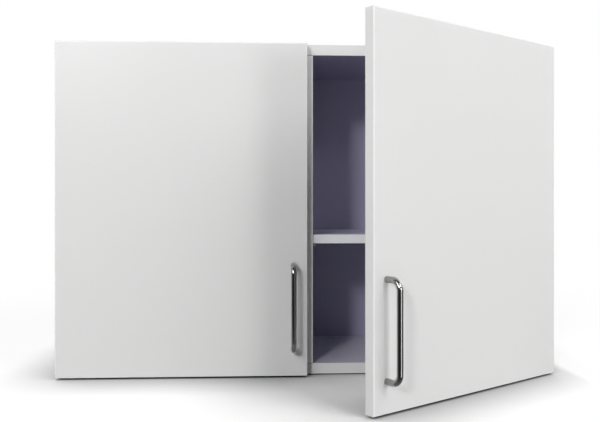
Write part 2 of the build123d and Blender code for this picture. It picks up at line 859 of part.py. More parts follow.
# ---------------------------------------------------------------- the whole cabinet
def fixed_nodes():
    """Pieces of the carcass that lie on both sides of the middle, or across it."""
    bottom, top = corner_heights()
    return {
        "bottom_panel": [cross_panel(*bottom)],
        "top_panel": [cross_panel(*top)],
        "centre_divider": [centre_divider()],
        "back_panel": [back_panel()],
        "carcass_edge_bands": carcass_bands(),
        "cam_housings": both_sides(right_cams()),
        "cam_bolts": both_sides(right_cam_bolts()),
        "wood_dowels": dowels(),
    }


def right_nodes(open_angle):
    """Every piece that the right half has, with its door open by an angle. The left half mirrors them."""
    door = {
        "door_panel": [door_panel()],
        "door_edge_band": [door_band()],
        "handle": [handle()],
        "handle_screws": handle_screws(),
        "door_bumpers": bumpers(),
        "hinge_cups": at_both_hinges([hinge_cup()]),
        "cup_screws": at_both_hinges(cup_screws()),
        "cup_pins": at_both_hinges(cup_pins()),
    }
    nodes = {
        "side_panel": [right_side()],
        "shelf": [right_shelf()],
        "shelf_edge_band": [right_shelf_band()],
        "shelf_pins": right_shelf_pins(),
        "hanger_housing": [right_hanger_housing()],
        "hanger_hook": [right_hook()],
        "hanger_screws": right_adjusters(),
        "hinge_plates": at_both_hinges([mounting_plate()]),
        "plate_screws": at_both_hinges(plate_screws()),
        "hinge_arms": at_both_hinges([hinge_arm()]),
        "arm_screws": at_both_hinges(arm_screws()),
        "arm_pins": at_both_hinges(arm_pins()),
        "outer_links": [swing_outer(part, open_angle) for part in at_both_hinges([outer_link()])],
        "inner_links": [swing_inner(part, open_angle) for part in at_both_hinges([inner_link()])],
    }
    for name, parts in door.items():
        nodes[name] = [swing_door(part, open_angle) for part in parts]
    return nodes


def build():
    """Every node by name, each a list of separate pieces."""
    nodes = fixed_nodes()
    for name, parts in right_nodes(right_open).items():
        nodes["right_" + name] = parts
    for name, parts in right_nodes(left_open).items():
        nodes["left_" + name] = [mirrored(part) for part in parts]
    return nodes


os.makedirs("parts", exist_ok=True)
for node, parts in build().items():
    solids = [solid for part in parts for solid in part.solids()]
    export_step(Compound(solids), f"parts/{node}.step")
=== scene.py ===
"""Dresses the hanging wall cabinet: finishes, fine handles, floor, lamps and camera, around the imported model."""

from __future__ import annotations

import logging
import math
from dataclasses import dataclass, field
from enum import Enum
from typing import ClassVar

import bpy
import numpy as np
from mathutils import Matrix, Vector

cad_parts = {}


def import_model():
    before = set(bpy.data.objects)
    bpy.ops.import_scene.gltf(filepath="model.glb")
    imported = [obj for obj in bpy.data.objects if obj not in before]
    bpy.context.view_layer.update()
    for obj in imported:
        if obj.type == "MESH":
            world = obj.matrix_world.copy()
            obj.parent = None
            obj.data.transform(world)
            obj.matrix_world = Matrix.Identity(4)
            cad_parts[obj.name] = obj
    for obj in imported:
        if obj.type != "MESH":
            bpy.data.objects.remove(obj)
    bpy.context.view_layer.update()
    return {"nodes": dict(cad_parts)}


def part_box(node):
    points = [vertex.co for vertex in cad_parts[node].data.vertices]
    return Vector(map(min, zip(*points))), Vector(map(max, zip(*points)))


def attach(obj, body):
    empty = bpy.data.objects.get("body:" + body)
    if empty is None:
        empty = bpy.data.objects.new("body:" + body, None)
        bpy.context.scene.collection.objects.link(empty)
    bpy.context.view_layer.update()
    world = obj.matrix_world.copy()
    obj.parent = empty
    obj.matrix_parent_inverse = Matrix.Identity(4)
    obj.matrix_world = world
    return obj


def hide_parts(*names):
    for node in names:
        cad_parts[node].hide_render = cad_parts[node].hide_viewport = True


LOG = logging.getLogger("wall_cabinet")

Colour = tuple[float, float, float]
Triple = tuple[float, float, float]
Pair = tuple[float, float]
Grid = np.ndarray
Socket = bpy.types.NodeSocket
Node = bpy.types.Node
Tree = bpy.types.NodeTree
Material = bpy.types.Material
Piece = bpy.types.Object
Nodes = dict[str, Piece]
Groups = dict[str, Tree]

# Lengths are in metres, lamps in watts. The middle height and the half board are those of the divider.
MIDDLE_HEIGHT = 0.3
HALF_BOARD = 0.0095
HINGE_HEIGHTS = (0.0905, 0.5065)
INWARD = (-1.0, 0.0, 0.0)
FORWARD = (0.0, -1.0, 0.0)
BACKWARD = (0.0, 1.0, 0.0)


class Side(Enum):
    """The two halves of the cabinet, with the sign of X on each."""

    LEFT = -1
    RIGHT = 1

    @property
    def word(self) -> str:
        """The side's name as the CAD nodes spell it."""
        return self.name.lower()


# ---- shader helpers
@dataclass
class NodeWork:
    """A node tree under construction, with short ways to add, feed and combine its nodes."""

    tree: Tree

    def add(self, kind: str, **values: object) -> Node:
        """Adds a node.

        Args:
            kind: the node's type name.
            values: settings of the node.

        Returns:
            The new node.
        """
        node = self.tree.nodes.new(kind)
        for name, value in values.items():
            setattr(node, name, value)
        return node

    def link(self, start: Socket, end: Socket) -> None:
        """Links an output to an input."""
        self.tree.links.new(start, end)

    def feed(self, slot: Socket, value: Socket | float | tuple[float, ...]) -> None:
        """Links a socket to an input, or sets the input to a plain value.

        Args:
            slot: the input.
            value: the socket, number or colour that it gets.
        """
        if isinstance(value, Socket):
            self.link(value, slot)
        else:
            slot.default_value = value

    def fill(self, node: Node, **values: Socket | float | tuple[float, ...]) -> None:
        """Feeds a node's inputs.

        Args:
            node: the node.
            values: what its inputs get, by their names with underscores for spaces.
        """
        for name, value in values.items():
            self.feed(node.inputs[name.replace("_", " ")], value)

    def place(self) -> Socket:
        """Returns the object coordinates."""
        return self.add("ShaderNodeTexCoord").outputs["Object"]

    def split(self, vector: Socket) -> tuple[Socket, ...]:
        """Takes a vector apart.

        Args:
            vector: the vector.

        Returns:
            Its X, Y and Z.
        """
        node = self.add("ShaderNodeSeparateXYZ")
        self.fill(node, Vector=vector)
        return tuple(node.outputs)

    def maths(self, operation: str, *values: Socket | float) -> Socket:
        """Adds a math node.

        Args:
            operation: its operation.
            values: sockets or numbers, in order.

        Returns:
            The node's output.
        """
        node = self.add("ShaderNodeMath", operation=operation)
        for slot, value in zip(node.inputs, values):
            self.feed(slot, value)
        return node.outputs[0]

    def ramp(self, value: Socket, span: Pair, low: float, high: float) -> Socket:
        """Maps a value smoothly, and holds it outside its span.

        Args:
            value: the value.
            span: where the change starts and ends.
            low: the result before the span.
            high: the result after it.

        Returns:
            The mapped value.
        """
        node = self.add("ShaderNodeMapRange", interpolation_type="SMOOTHSTEP")
        self.fill(node, Value=value, From_Min=span[0], From_Max=span[1], To_Min=low, To_Max=high)
        return node.outputs["Result"]

    def noise(self, where: Socket, scale: Socket | float, detail: float) -> Socket:
        """Adds a noise texture.

        Args:
            where: the coordinates.
            scale: how many waves there are to a metre.
            detail: how many finer layers it has.

        Returns:
            The noise, about 0.5.
        """
        node = self.add("ShaderNodeTexNoise")
        self.fill(node, Vector=where, Scale=scale, Detail=detail)
        return node.outputs["Fac"]

    def mix(self, mask: Socket, off: Socket | Colour, on: Socket | Colour | float) -> Socket:
        """Moves from a value or colour to another by a mask.

        Args:
            mask: 0 for the first, 1 for the second.
            off: the first.
            on: the second: a plain number where values are mixed.

        Returns:
            The mixed value or colour.
        """
        kind, slots, result = ("FLOAT", (2, 3), 0) if isinstance(on, float) else ("RGBA", (6, 7), 2)
        node = self.add("ShaderNodeMix", data_type=kind)
        self.link(mask, node.inputs[0])
        for slot, value in zip(slots, (off, on)):
            self.feed(node.inputs[slot], (*value, 1.0) if isinstance(value, tuple) else value)
        return node.outputs[result]

    def mix_shaders(self, mask: Socket, off: Socket, on: Socket) -> Socket:
        """Mixes two shaders by a mask.

        Args:
            mask: 0 for the first shader, 1 for the second.
            off: the first shader.
            on: the second shader.

        Returns:
            The mixed shader.
        """
        node = self.add("ShaderNodeMixShader")
        for slot, socket in zip(node.inputs, (mask, off, on)):
            self.link(socket, slot)
        return node.outputs[0]

    def by_ray(self, lit: Socket, mirrored: Socket, seen: Socket) -> Socket:
        """Gives each kind of ray its own shader.

        Args:
            lit: what soft light meets.
            mirrored: what gloss and glass show.
            seen: what the camera sees.

        Returns:
            The whole shader.
        """
        path = self.add("ShaderNodeLightPath").outputs
        gloss = self.maths("MAXIMUM", path["Is Glossy Ray"], path["Is Transmission Ray"])
        return self.mix_shaders(path["Is Camera Ray"], self.mix_shaders(gloss, lit, mirrored), seen)


@dataclass
class Shading(NodeWork):
    """A material under construction, whose Principled BSDF already feeds its output."""

    tree: Tree = field(init=False)
    name: str
    material: Material = field(init=False)
    bsdf: Node = field(init=False)
    output: Node = field(init=False)

    def __post_init__(self) -> None:
        """Starts the material and its two nodes."""
        self.material = bpy.data.materials.new(self.name)
        self.material.use_nodes = True
        self.tree = self.material.node_tree
        self.tree.nodes.clear()
        self.bsdf = self.add("ShaderNodeBsdfPrincipled")
        self.output = self.add("ShaderNodeOutputMaterial")
        self.fill(self.output, Surface=self.bsdf.outputs["BSDF"])

    def group(self, tree: Tree, **values: Socket | float | Triple) -> Node:
        """Places a shared effect.

        Args:
            tree: the effect's node group.
            values: its inputs by name.

        Returns:
            The group node.
        """
        node = self.add("ShaderNodeGroup", node_tree=tree)
        self.fill(node, **values)
        return node

    def tint(self, colour: Colour, tone: Socket) -> Socket:
        """Makes a colour lighter and darker over the surface.

        Args:
            colour: the plain colour.
            tone: its strength at each point, about 1.

        Returns:
            The toned colour.
        """
        node = self.add("ShaderNodeVectorMath", operation="SCALE")
        self.fill(node, Vector=colour, Scale=tone)
        return node.outputs["Vector"]

    def relief(self, height: Socket, strength: float, depth: float) -> None:
        """Bumps the surface.

        Args:
            height: its height at each point, from 0 to 1.
            strength: how much of the bump shows.
            depth: the height's full range in metres.
        """
        bump = self.add("ShaderNodeBump")
        self.fill(bump, Strength=strength, Distance=depth, Height=height)
        self.fill(self.bsdf, Normal=bump.outputs["Normal"])


@dataclass
class Effect(NodeWork):
    """A node group under construction: a surface effect that several finishes share."""

    tree: Tree = field(init=False)
    name: str
    start: Node = field(init=False)
    end: Node = field(init=False)

    def __post_init__(self) -> None:
        """Starts the group with its input and output nodes."""
        self.tree = bpy.data.node_groups.new(self.name, "ShaderNodeTree")
        self.start = self.add("NodeGroupInput")
        self.end = self.add("NodeGroupOutput")

    def takes(self, values: dict[str, float | Triple]) -> bpy.types.bpy_prop_collection:
        """Adds the group's inputs.

        Args:
            values: the inputs' defaults by name, numbers or vectors.

        Returns:
            The sockets inside the group that carry them, by name.
        """
        for name, value in values.items():
            kind = "NodeSocketVector" if isinstance(value, tuple) else "NodeSocketFloat"
            self.tree.interface.new_socket(name, in_out="INPUT", socket_type=kind).default_value = value
        return self.start.outputs

    def gives(self, values: dict[str, Socket]) -> Tree:
        """Adds the group's outputs.

        Args:
            values: the sockets that feed them, by name.

        Returns:
            The finished group.
        """
        for name, socket in values.items():
            self.tree.interface.new_socket(name, in_out="OUTPUT", socket_type="NodeSocketFloat")
            self.link(socket, self.end.inputs[name])
        return self.tree


def pressed_effect() -> Tree:
    """Builds the faint ripple and cloudiness of a pressed or sprayed face.

    Height is fine noise plus a share of broad noise; Shade drifts round 1 with the broad noise alone.

    Returns:
        The node group, with Scale and Cloud inputs and Height and Shade outputs.
    """
    effect = Effect("pressed_face")
    given = effect.takes({"Scale": 900.0, "Cloud": 0.02})
    where = effect.place()
    fine = effect.noise(where, given["Scale"], 3.0)
    broad = effect.noise(where, 4.0, 2.0)
    height = effect.maths("MULTIPLY_ADD", broad, 0.35, fine)
    shade = effect.maths("MULTIPLY_ADD", effect.maths("SUBTRACT", broad, 0.5), given["Cloud"], 1.0)
    return effect.gives({"Height": height, "Shade": shade})


def grinding_effect() -> Tree:
    """Builds fine grinding lines: noise stretched along one axis of the piece. Tone is half the noise plus 0.75.

    Returns:
        The node group, with Place and Stretch vector inputs and Height and Tone outputs.
    """
    effect = Effect("grinding_lines")
    given = effect.takes({"Place": (0.0, 0.0, 0.0), "Stretch": (9000.0, 9000.0, 60.0)})
    scaled = effect.add("ShaderNodeVectorMath", operation="MULTIPLY")
    effect.link(given["Place"], scaled.inputs[0])
    effect.link(given["Stretch"], scaled.inputs[1])
    lines = effect.noise(scaled.outputs["Vector"], 1.0, 4.0)
    return effect.gives({"Height": lines, "Tone": effect.maths("MULTIPLY_ADD", lines, 0.5, 0.75)})


def room_effect() -> Tree:
    """Builds a mask of the faces inside the box, where the white takes a painted shade.

    Inside is 1 where |x| is under Half Width, z lies between Low and High and y is under Back.

    Returns:
        The node group, with those four inputs and the Inside output.
    """
    effect = Effect("inside_of_box")
    given = effect.takes({"Half Width": 0.4315, "Low": 0.0185, "High": 0.5815, "Back": 0.1155})
    x, y, z = effect.split(effect.place())
    across = effect.maths("LESS_THAN", effect.maths("ABSOLUTE", x), given["Half Width"])
    above = effect.maths("GREATER_THAN", z, given["Low"])
    below = effect.maths("LESS_THAN", z, given["High"])
    before = effect.maths("LESS_THAN", y, given["Back"])
    mask = effect.maths("MULTIPLY", effect.maths("MULTIPLY", across, above), effect.maths("MULTIPLY", below, before))
    return effect.gives({"Inside": mask})


def joint_effect() -> Tree:
    """Builds the hairlines where the panels and their edgings meet.

    With aloft for the distance above or below the cabinet's middle height, Joint is 1 within Line of the divider's
    ends, aloft equal to Rise where |x| is under half a board, and of the sides' inner faces, |x| equal to Reach
    where aloft is over Rise.

    Returns:
        The node group, with Reach, Rise and Line inputs and the Joint output.
    """
    effect = Effect("panel_joints")
    given = effect.takes({"Reach": 0.431, "Rise": 0.281, "Line": 0.0005})
    x, _, z = effect.split(effect.place())
    aside = effect.maths("ABSOLUTE", x)
    aloft = effect.maths("ABSOLUTE", effect.maths("SUBTRACT", z, MIDDLE_HEIGHT))
    level = effect.maths("COMPARE", aloft, given["Rise"], given["Line"])
    level = effect.maths("MULTIPLY", level, effect.maths("LESS_THAN", aside, HALF_BOARD))
    upright = effect.maths("COMPARE", aside, given["Reach"], given["Line"])
    upright = effect.maths("MULTIPLY", upright, effect.maths("GREATER_THAN", aloft, given["Rise"]))
    return effect.gives({"Joint": effect.maths("MAXIMUM", level, upright)})


# ---- finishes
@dataclass(frozen=True)
class WhiteBoard:
    """White faced board or edging: satin, with a faint ripple and cloudiness.

    Where they are given, it has a darker, violet-grey painted shade on the faces inside the box, sawn chipboard on
    the faces behind raw_behind, and hairlines at the joints.
    """

    name: str
    colour: Colour = (0.80, 0.80, 0.796)
    roughness: float = 0.38
    ripple: float = 0.04
    ripple_depth: float = 0.0002
    scale: float = 900.0
    cloud: float = 0.03
    painted_inside_shade: Colour | None = None
    raw_behind: float | None = None
    chip_scale: float = 520.0
    chip_dark: Colour = (0.30, 0.19, 0.10)
    chip_light: Colour = (0.62, 0.47, 0.30)
    joints: bool = False
    joint_colour: Colour = (0.07, 0.07, 0.08)

    def make(self, effects: Groups) -> Material:
        """Builds the material.

        Args:
            effects: the shared node groups by name.

        Returns:
            The finished material.
        """
        shade = Shading(self.name)
        face = shade.group(effects["pressed"], Scale=self.scale, Cloud=self.cloud)
        colour = shade.tint(self.colour, face.outputs["Shade"])
        # Painted shade: inside the box the white gives way to a darker colour.
        if self.painted_inside_shade is not None:
            colour = shade.mix(shade.group(effects["room"]).outputs["Inside"], colour, self.painted_inside_shade)
        if self.joints:
            colour = shade.mix(shade.group(effects["joints"]).outputs["Joint"], colour, self.joint_colour)
        if self.raw_behind is not None:
            colour = self._raw_edge(shade, colour)
        shade.fill(shade.bsdf, Base_Color=colour, Roughness=self.roughness)
        shade.relief(face.outputs["Height"], self.ripple, self.ripple_depth)
        return shade.material

    def _raw_edge(self, shade: Shading, colour: Socket) -> Socket:
        """Shows sawn chipboard on the faces further back than raw_behind.

        Args:
            shade: the material under construction.
            colour: the white face's colour.

        Returns:
            The mixed colour.
        """
        where = shade.place()
        behind = shade.maths("GREATER_THAN", shade.split(where)[1], self.raw_behind)
        chips = shade.add("ShaderNodeTexVoronoi")
        shade.fill(chips, Vector=where, Scale=self.chip_scale)
        tone = shade.add("ShaderNodeValToRGB")
        for stop, chip in zip(tone.color_ramp.elements, (self.chip_dark, self.chip_light)):
            stop.color = (*chip, 1.0)
        shade.fill(tone, Fac=chips.outputs["Color"])
        return shade.mix(behind, colour, tone.outputs["Color"])


@dataclass(frozen=True)
class Metal:
    """A ground, plated or cast metal. Its lines follow the attribute named by along, or else the object."""

    name: str
    colour: Colour
    roughness: float
    stretch: Triple = (2500.0, 2500.0, 2500.0)
    strength: float = 0.05
    along: str = ""
    line_depth: float = 0.0001
    # Painted shade at the rod's feet: the span it rises over, and how dark it is at the feet.
    foot_shade_span: Pair = (0.0126, 0.042)
    foot_shade_share: float = 0.62

    def make(self, effects: Groups) -> Material:
        """Builds the material from the shared grinding lines.

        Args:
            effects: the shared node groups by name.

        Returns:
            The finished material.
        """
        shade = Shading(self.name)
        lines = shade.group(effects["grinding"], Stretch=self.stretch)
        tone = lines.outputs["Tone"]
        if self.along:
            place = shade.add("ShaderNodeAttribute", attribute_name=self.along).outputs["Vector"]
            # Painted shade: the rod darkens towards its feet.
            tone = self._paint_shade_at_feet(shade, place, tone)
        else:
            place = shade.place()
        shade.fill(lines, Place=place)
        rough = shade.maths("MULTIPLY", lines.outputs["Tone"], self.roughness)
        shade.fill(shade.bsdf, Base_Color=shade.tint(self.colour, tone), Roughness=rough, Metallic=1.0)
        shade.relief(lines.outputs["Height"], self.strength, self.line_depth)
        return shade.material

    def _paint_shade_at_feet(self, shade: Shading, place: Socket, tone: Socket) -> Socket:
        """Darkens the rod towards its feet as painted shade, where it meets the door: the tone rises smoothly over
        its span.

        Args:
            shade: the material under construction.
            place: the place on the rod, with the run to the nearer foot in Y and from the first foot in Z.
            tone: the grinding lines' tone.

        Returns:
            The tone, darkened towards the feet by painted shade.
        """
        foot_shade = shade.ramp(shade.split(place)[1], self.foot_shade_span, self.foot_shade_share, 1.0)
        return shade.maths("MULTIPLY", tone, foot_shade)


@dataclass(frozen=True)
class Moulded:
    """Moulded plastic or soft pads, with a fine spark-eroded grain."""

    name: str
    colour: Colour
    roughness: float = 0.5
    subsurface: float = 0.0
    grain_scale: float = 1800.0
    cloud: float = 0.05
    grain: float = 0.15
    grain_depth: float = 0.0001

    def make(self, effects: Groups) -> Material:
        """Builds the material from the shared pressed face at a coarser grain.

        Args:
            effects: the shared node groups by name.

        Returns:
            The finished material.
        """
        shade = Shading(self.name)
        face = shade.group(effects["pressed"], Scale=self.grain_scale, Cloud=self.cloud)
        colour = shade.tint(self.colour, face.outputs["Shade"])
        shade.fill(shade.bsdf, Base_Color=colour, Roughness=self.roughness, Subsurface_Weight=self.subsurface)
        shade.relief(face.outputs["Height"], self.grain, self.grain_depth)
        return shade.material


@dataclass(frozen=True)
class Timber:
    """Turned beech: pale, with darker flecks along the grain."""

    name: str
    light: Colour = (0.62, 0.42, 0.24)
    dark: Colour = (0.42, 0.25, 0.12)
    stretch: Triple = (300.0, 2500.0, 2500.0)
    roughness: float = 0.6

    def make(self, effects: Groups) -> Material:
        """Builds the material.

        Args:
            effects: the shared node groups by name.

        Returns:
            The finished material.
        """
        shade = Shading(self.name)
        lines = shade.group(effects["grinding"], Place=shade.place(), Stretch=self.stretch)
        grain = shade.mix(lines.outputs["Tone"], self.dark, self.light)
        shade.fill(shade.bsdf, Base_Color=grain, Roughness=self.roughness)
        return shade.material


class Finish(Enum):
    """Every finish on the cabinet."""

    DOOR = WhiteBoard("white_door_face")
    # Painted light: the door's edging is whiter than its face.
    DOOR_EDGE = WhiteBoard("white_door_edging", colour=(0.91, 0.91, 0.905), roughness=0.3, ripple=0.02)
    # Painted shade inside the box: darker on the sides, top, divider and back, lighter on the bottom and shelves.
    CARCASS = WhiteBoard("white_carcass_face", painted_inside_shade=(0.39, 0.375, 0.50), raw_behind=0.1398, joints=True)
    BOTTOM = WhiteBoard("white_bottom_face", painted_inside_shade=(0.74, 0.73, 0.83), raw_behind=0.1398, joints=True)
    BACK = WhiteBoard("white_back_face", painted_inside_shade=(0.455, 0.435, 0.59))
    SHELF = WhiteBoard("pale_shelf_face", painted_inside_shade=(0.70, 0.69, 0.80))
    # Painted light: the shelf edging is whiter than the white board.
    SHELF_EDGE = WhiteBoard("pale_shelf_edging", colour=(0.93, 0.93, 0.96), roughness=0.3, ripple=0.02)
    EDGING = WhiteBoard("white_edging", roughness=0.3, ripple=0.02, joints=True)
    STEEL = Metal("satin_stainless", (0.56, 0.555, 0.55), 0.16, (2200.0, 0.0, 60.0), 0.06, "rod_place")
    NICKEL = Metal("nickel_plate", (0.68, 0.66, 0.62), 0.22)
    ZINC = Metal("die_cast_zinc", (0.58, 0.58, 0.59), 0.34, strength=0.12)
    SCREW = Metal("zinc_plated_steel", (0.60, 0.61, 0.64), 0.3, strength=0.08)
    PLASTIC = Moulded("hanger_moulding", (0.72, 0.72, 0.71))
    PAD = Moulded("soft_bumper", (0.70, 0.72, 0.74), 0.35, 0.3)
    BEECH = Timber("beech_dowel")


@dataclass
class Palette:
    """Makes each finish once and gives it out."""

    effects: Groups = field(
        default_factory=lambda: {
            "pressed": pressed_effect(),
            "grinding": grinding_effect(),
            "room": room_effect(),
            "joints": joint_effect(),
        }
    )
    made: dict[Finish, Material] = field(default_factory=dict)

    def material(self, finish: Finish) -> Material:
        """Gives a finish's material, built on its first use.

        Args:
            finish: the finish.

        Returns:
            Its material.
        """
        if finish not in self.made:
            self.made[finish] = finish.value.make(self.effects)
        return self.made[finish]

    def dress(self, piece: Piece, finish: Finish) -> None:
        """Gives a piece one finish all over."""
        piece.data.materials.clear()
        piece.data.materials.append(self.material(finish))


# ---- surfaces
def put(name: str, data: bpy.types.ID) -> Piece:
    """Puts a mesh, lamp or camera into the scene as an object.

    Args:
        name: the object's name.
        data: what it holds.

    Returns:
        The new object.
    """
    made = bpy.data.objects.new(name, data)
    bpy.context.scene.collection.objects.link(made)
    return made


def once_round(count: int) -> Grid:
    """Spaces angles evenly once round a circle."""
    return np.linspace(0.0, 2.0 * math.pi, count, endpoint=False)


@dataclass
class Surface:
    """Closed shells gathered into one piece: points, faces and an optional place on the rod for each point."""

    points: list[Grid] = field(default_factory=list)
    faces: list[tuple[int, ...]] = field(default_factory=list)
    marks: list[Grid] = field(default_factory=list)
    count: int = 0

    def add_tube(self, rings: Grid, first: Grid, last: Grid, marks: Grid | None = None) -> None:
        """Adds a closed tube: rings joined one after the other, closed by a pole at each end.

        Args:
            rings: points as (ring, place on the ring, 3).
            first: the pole before the first ring.
            last: the pole after the last ring.
            marks: the rod place of each ring point, shaped as rings.
        """
        steps, around = rings.shape[:2]
        points = np.concatenate([first.reshape(1, 3), rings.reshape(-1, 3), last.reshape(1, 3)])
        here = 1 + np.arange(steps * around).reshape(steps, around)
        beside = np.roll(here, -1, axis=1)
        quads = np.stack([here[:-1], beside[:-1], beside[1:], here[1:]], axis=-1).reshape(-1, 4)
        start_pole = np.zeros(around, int)
        end_pole = np.full(around, steps * around + 1)
        caps = np.concatenate([
            np.stack([start_pole, beside[0], here[0]], axis=-1),
            np.stack([end_pole, here[-1], beside[-1]], axis=-1),
        ])
        if self._inside_out(points, quads, caps):
            quads, caps = quads[:, ::-1], caps[:, ::-1]
        self.faces += [tuple(face) for face in (quads + self.count).tolist() + (caps + self.count).tolist()]
        self.points.append(points)
        if marks is not None:
            flat = marks.reshape(-1, 3)
            self.marks.append(np.concatenate([flat[:1], flat, flat[-1:]]))
        self.count += len(points)

    def mirror(self) -> None:
        """Mirrors every shell to the other side of the cabinet and turns its faces round again."""
        self.points = [points * [-1.0, 1.0, 1.0] for points in self.points]
        self.faces = [face[::-1] for face in self.faces]

    @staticmethod
    def _inside_out(points: Grid, quads: Grid, caps: Grid) -> bool:
        """Tells whether a shell's volume, summed from the corners of its triangles, is negative."""
        triangles = points[np.concatenate([quads[:, :3], quads[:, [0, 2, 3]], caps])]
        return float(np.einsum("ij,ij->i", triangles[:, 0], np.cross(triangles[:, 1], triangles[:, 2])).sum()) < 0.0

    def make(self, name: str) -> Piece:
        """Makes the smooth shaded object, at the origin, with its place in its mesh.

        Args:
            name: the piece's name.

        Returns:
            The new object.
        """
        mesh = bpy.data.meshes.new(name)
        mesh.from_pydata(np.concatenate(self.points).tolist(), [], self.faces)
        mesh.polygons.foreach_set("use_smooth", np.full(len(mesh.polygons), True))
        if self.marks:
            layer = mesh.attributes.new(Finish.STEEL.value.along, "FLOAT_VECTOR", "POINT")
            layer.data.foreach_set("vector", np.concatenate(self.marks).astype(np.float32).ravel())
        mesh.update()
        return put(name, mesh)


def rings_of(radius: Grid, height: Grid, turn: Grid) -> Grid:
    """Makes level rings: the radius times cos and sin of the angle, at the ring's height.

    Args:
        radius: radii as (ring, angle), or as (ring, 1) for round rings.
        height: the height of each ring.
        turn: the angles.

    Returns:
        Points as (ring, angle, 3).
    """
    radii = radius * np.ones_like(turn)
    heights = np.broadcast_to(height[:, None], radii.shape)
    return np.stack([radii * np.cos(turn), radii * np.sin(turn), heights], axis=-1)


@dataclass(frozen=True)
class DoorSwing:
    """Carries a point from the closed door to where the door stands in the stored pose."""

    open_degrees: float
    cup_pivot: Pair = (0.43855, -0.1455)
    arm_pivot: Pair = (0.4169, -0.1248)
    link_share: float = -0.312

    def carry(self, points: Grid) -> Grid:
        """Turns points of the closed right door about the cup pivot, then with the link about the arm pivot."""
        on_link = self._turn(points, self.cup_pivot, (1.0 - self.link_share) * self.open_degrees)
        return self._turn(on_link, self.arm_pivot, self.link_share * self.open_degrees)

    @staticmethod
    def _turn(points: Grid, pivot: Pair, degrees: float) -> Grid:
        """Turns points about an upright axis.

        Args:
            points: places as (..., 3).
            pivot: the axis's X and Y.
            degrees: how far, counter-clockwise from above.

        Returns:
            The turned places.
        """
        angle = math.radians(degrees)
        x, y = points[..., 0] - pivot[0], points[..., 1] - pivot[1]
        turned_x = pivot[0] + x * math.cos(angle) - y * math.sin(angle)
        turned_y = pivot[1] + x * math.sin(angle) + y * math.cos(angle)
        return np.stack([turned_x, turned_y, points[..., 2]], axis=-1)


@dataclass(frozen=True)
class BowHandle:
    """A bow handle bent from round rod, ground along its length."""

    rod_r: float = 0.005
    spacing: float = 0.150
    standoff: float = 0.028
    bend_r: float = 0.015
    edge: float = 0.0255
    low_foot: float = 0.050
    door_edge: float = 0.0015
    door_face: float = -0.161
    edge_break: float = 0.0004
    around: int = 48
    bend_steps: int = 28
    leg_steps: int = 8
    bar_steps: int = 24

    def centre_line(self) -> tuple[Grid, Grid]:
        """Works out the line through the middle of the rod, in the plane of the bow.

        It runs out from the lower foot, turns upward on a quarter circle, runs up, turns back and runs in to the
        upper foot: in each bend the heading grows evenly from one straight to the next.

        Returns:
            Points as (reach from the door, height), and the heading angle at each, 0 outward and 90 degrees up.
        """
        reach, rise = self.standoff - self.bend_r, self.spacing - 2.0 * self.bend_r
        quarter = np.linspace(0.0, math.pi / 2, self.bend_steps)
        leg = np.concatenate([[0.0, self.edge_break], np.linspace(2 * self.edge_break, reach, self.leg_steps)])
        low_leg = np.stack([leg, np.zeros_like(leg)], axis=-1)
        low_bend = np.stack([reach + self.bend_r * np.sin(quarter), self.bend_r * (1 - np.cos(quarter))], axis=-1)
        lift = np.linspace(0.0, rise, self.bar_steps + 2)[1:-1]
        bar = np.stack([np.full_like(lift, self.standoff), self.bend_r + lift], axis=-1)
        half = np.concatenate([low_leg, low_bend[1:]])
        heading = np.concatenate([np.zeros(len(low_leg)), quarter[1:]])
        upper = half[::-1] * [1.0, -1.0] + [0.0, self.spacing]
        line = np.concatenate([half, bar, upper])
        headings = np.concatenate([heading, np.full(len(bar), math.pi / 2), math.pi - heading[::-1]])
        return line, headings

    def add_to(self, surface: Surface) -> None:
        """Adds the swept rod on the closed right door: a circle carried along the centre line.

        Each ring point is the centre plus the rod's radius times cos of its angle sideways and sin of it across
        the heading. The radius falls a little at both feet.

        Args:
            surface: the shells that it joins.
        """
        line, heading = self.centre_line()
        run = np.concatenate([[0.0], np.cumsum(np.linalg.norm(np.diff(line, axis=0), axis=1))])
        to_foot = np.minimum(run, run[-1] - run)
        radius = self.rod_r - self.edge_break * np.clip(1.0 - to_foot / self.edge_break, 0.0, 1.0)
        turn = once_round(self.around)
        sideways = radius[:, None] * np.cos(turn)
        across = radius[:, None] * np.sin(turn)
        x = self.door_edge + self.edge + sideways
        reach = line[:, :1] - np.sin(heading)[:, None] * across
        height = self.low_foot + line[:, 1:] + np.cos(heading)[:, None] * across
        rings = np.stack([x, self.door_face - reach, height], axis=-1)
        runs = (np.broadcast_to(way[:, None], sideways.shape) for way in (to_foot, run))
        marks = np.stack([sideways, *runs], axis=-1)
        surface.add_tube(rings, rings[0].mean(axis=0), rings[-1].mean(axis=0), marks)


@dataclass(frozen=True)
class Seat:
    """Where a screw or pad sits: the middle of the face it stands on, and the way its head looks."""

    middle: Triple
    facing: Triple

    def pole(self, height: float) -> Grid:
        """Gives the point on this seat's own axis at a height."""
        return np.array(self.middle) + height * np.array(self.facing)

    def lay(self, flat: Grid) -> Grid:
        """Carries (sideways, upward, outward) points to this seat."""
        out, up = np.array(self.facing), np.array([0.0, 0.0, 1.0])
        return np.array(self.middle) + flat[..., :1] * np.cross(up, out) + flat[..., 1:2] * up + flat[..., 2:] * out


